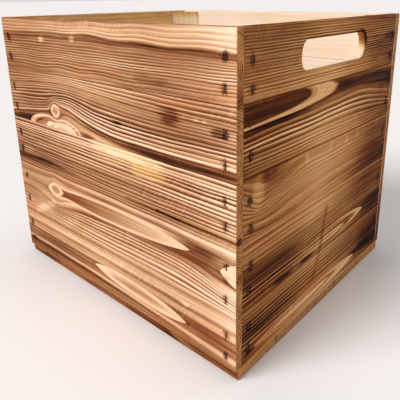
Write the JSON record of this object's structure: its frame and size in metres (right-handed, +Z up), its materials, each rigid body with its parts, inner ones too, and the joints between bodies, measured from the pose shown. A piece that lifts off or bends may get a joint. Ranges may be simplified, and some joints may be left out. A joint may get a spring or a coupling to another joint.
{
  "type": "wooden apple crate",
  "caption": "Open box crate of butted, flame-scorched softwood boards, stapled to triangular corner posts over a boarded bottom, with a hand slot in each end wall.",
  "frame": {"origin": "middle of the base, on the surface that the crate stands on", "axes": "+Z up; X along the long walls; the end walls with the hand slots face +X and -X"},
  "size_m": [0.38, 0.33, 0.33],
  "materials": {
    "scorched_spruce": "flame-scorched outside, bare and pale inside, unvarnished",
    "pale_spruce": "bare planed softwood",
    "bottom_spruce": "rough-sawn softwood, lightly scorched on the edges",
    "staple_steel": "heat-darkened steel wire"
  },
  "bodies": {
    "root": {"front_board_1": "scorched_spruce", "front_board_2": "scorched_spruce", "front_board_3": "scorched_spruce", "front_board_4": "scorched_spruce", "front_board_5": "scorched_spruce", "back_board_1": "scorched_spruce", "back_board_2": "scorched_spruce", "back_board_3": "scorched_spruce", "back_board_4": "scorched_spruce", "back_board_5": "scorched_spruce", "right_board_1": "scorched_spruce", "right_board_2": "scorched_spruce", "right_board_3": "scorched_spruce", "right_board_4": "scorched_spruce", "right_handle_board": "scorched_spruce", "left_board_1": "scorched_spruce", "left_board_2": "scorched_spruce", "left_board_3": "scorched_spruce", "left_board_4": "scorched_spruce", "left_handle_board": "scorched_spruce", "post_front_right": "pale_spruce", "post_front_left": "pale_spruce", "post_back_right": "pale_spruce", "post_back_left": "pale_spruce", "floor_board_1": "bottom_spruce", "floor_board_2": "bottom_spruce", "floor_board_3": "bottom_spruce", "floor_board_4": "bottom_spruce", "floor_board_5": "bottom_spruce", "staple_front_left_1": "staple_steel", "staple_front_left_2": "staple_steel", "staple_front_left_3": "staple_steel", "staple_front_left_4": "staple_steel", "staple_front_left_5": "staple_steel", "staple_front_right_1": "staple_steel", "staple_front_right_2": "staple_steel", "staple_front_right_3": "staple_steel", "staple_front_right_4": "staple_steel", "staple_front_right_5": "staple_steel", "staple_back_left_1": "staple_steel", "staple_back_left_2": "staple_steel", "staple_back_left_3": "staple_steel", "staple_back_left_4": "staple_steel", "staple_back_left_5": "staple_steel", "staple_back_right_1": "staple_steel", "staple_back_right_2": "staple_steel", "staple_back_right_3": "staple_steel", "staple_back_right_4": "staple_steel", "staple_back_right_5": "staple_steel", "staple_floor_left_1": "staple_steel", "staple_floor_left_2": "staple_steel", "staple_floor_left_3": "staple_steel", "staple_floor_left_4": "staple_steel", "staple_floor_left_5": "staple_steel", "staple_floor_right_1": "staple_steel", "staple_floor_right_2": "staple_steel", "staple_floor_right_3": "staple_steel", "staple_floor_right_4": "staple_steel", "staple_floor_right_5": "staple_steel"}
  },
  "joints": []
}
